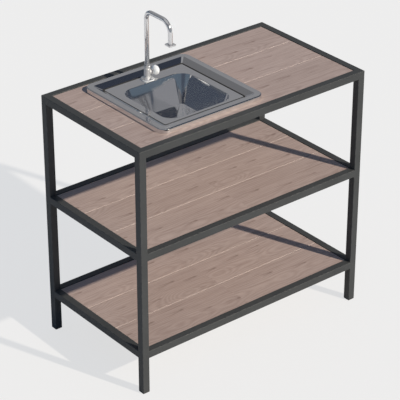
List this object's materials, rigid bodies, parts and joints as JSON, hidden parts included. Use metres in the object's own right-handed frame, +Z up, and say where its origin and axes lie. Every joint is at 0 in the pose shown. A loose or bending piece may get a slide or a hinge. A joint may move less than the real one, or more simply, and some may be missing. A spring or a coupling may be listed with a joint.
{
  "type": "camp kitchen table",
  "caption": "Square-tube camp kitchen table with a plank worktop, an inset square sink with a swivelling tap on the left, and plank storage shelves below.",
  "frame": {"origin": "on the floor, under the centre of the footprint", "axes": "+X to the right along the long side, +Y to the back (the side with the tap), +Z up"},
  "size_m": [0.9, 0.5, 1.0905],
  "materials": {
    "frame": "charcoal powder coat, fine satin texture",
    "foot_plastic": "black moulded plug",
    "planks": "taupe grey-brown oiled planks, grain along the length",
    "sink_steel": "pressed and polished stainless steel",
    "faucet_chrome": "bright chrome plate",
    "knob_plastic": "glossy white moulded knob",
    "seal_rubber": "black rubber and foam seals",
    "waste_plastic": "pale moulded waste fittings",
    "zinc_steel": "zinc-plated fixings",
    "inlet_brass": "plain brass hose tail"
  },
  "bodies": {
    "table": {"leg_front_left": "frame", "leg_front_right": "frame", "leg_rear_left": "frame", "leg_rear_right": "frame", "foot_front_left": "foot_plastic", "foot_front_right": "foot_plastic", "foot_rear_left": "foot_plastic", "foot_rear_right": "foot_plastic", "worktop_rail_front": "frame", "worktop_rail_rear": "frame", "worktop_rail_left": "frame", "worktop_rail_right": "frame", "middle_rail_front": "frame", "middle_rail_rear": "frame", "middle_rail_left": "frame", "middle_rail_right": "frame", "lower_rail_front": "frame", "lower_rail_rear": "frame", "lower_rail_left": "frame", "lower_rail_right": "frame", "worktop_plank_front": "planks", "worktop_plank_middle_left": "planks", "worktop_plank_middle_right": "planks", "worktop_plank_rear": "planks", "middle_plank_front": "planks", "middle_plank_middle": "planks", "middle_plank_rear": "planks", "lower_plank_front": "planks", "lower_plank_middle": "planks", "lower_plank_rear": "planks", "worktop_bearer_1": "frame", "worktop_bearer_2": "frame", "worktop_bearer_3": "frame", "worktop_bearer_4": "frame", "middle_bearer_1": "frame", "middle_bearer_2": "frame", "middle_bearer_3": "frame", "lower_bearer_1": "frame", "lower_bearer_2": "frame", "lower_bearer_3": "frame", "sink_bowl": "sink_steel", "sink_seal": "seal_rubber", "sink_clip_front": "zinc_steel", "sink_clip_rear": "zinc_steel", "sink_clip_left": "zinc_steel", "sink_clip_right": "zinc_steel", "drain_flange": "sink_steel", "drain_locknut": "waste_plastic", "drain_tailpiece": "waste_plastic", "faucet_flange": "faucet_chrome", "faucet_body": "faucet_chrome", "faucet_bonnet": "faucet_chrome", "faucet_washer": "seal_rubber", "faucet_locknut": "zinc_steel", "water_inlet": "inlet_brass"},
    "spout": {"faucet_neck": "faucet_chrome", "faucet_outlet": "faucet_chrome"},
    "knob": {"faucet_knob": "knob_plastic", "faucet_spindle": "zinc_steel"},
    "strainer": {"drain_basket": "sink_steel"}
  },
  "joints": [
    {"name": "spout_swivel", "type": "hinge", "parent": "table", "child": "spout", "pos_m": [-0.125, 0.134, 0.897], "axis": [0, 0, 1], "continuous": true},
    {"name": "knob_turn", "type": "hinge", "parent": "table", "child": "knob", "pos_m": [-0.093, 0.134, 0.873], "axis": [1, 0, 0], "range_deg": [0, 180]},
    {"name": "strainer_lift", "type": "slide", "parent": "table", "child": "strainer", "axis": [0, 0, 1], "range_m": [0, 0.15]}
  ]
}
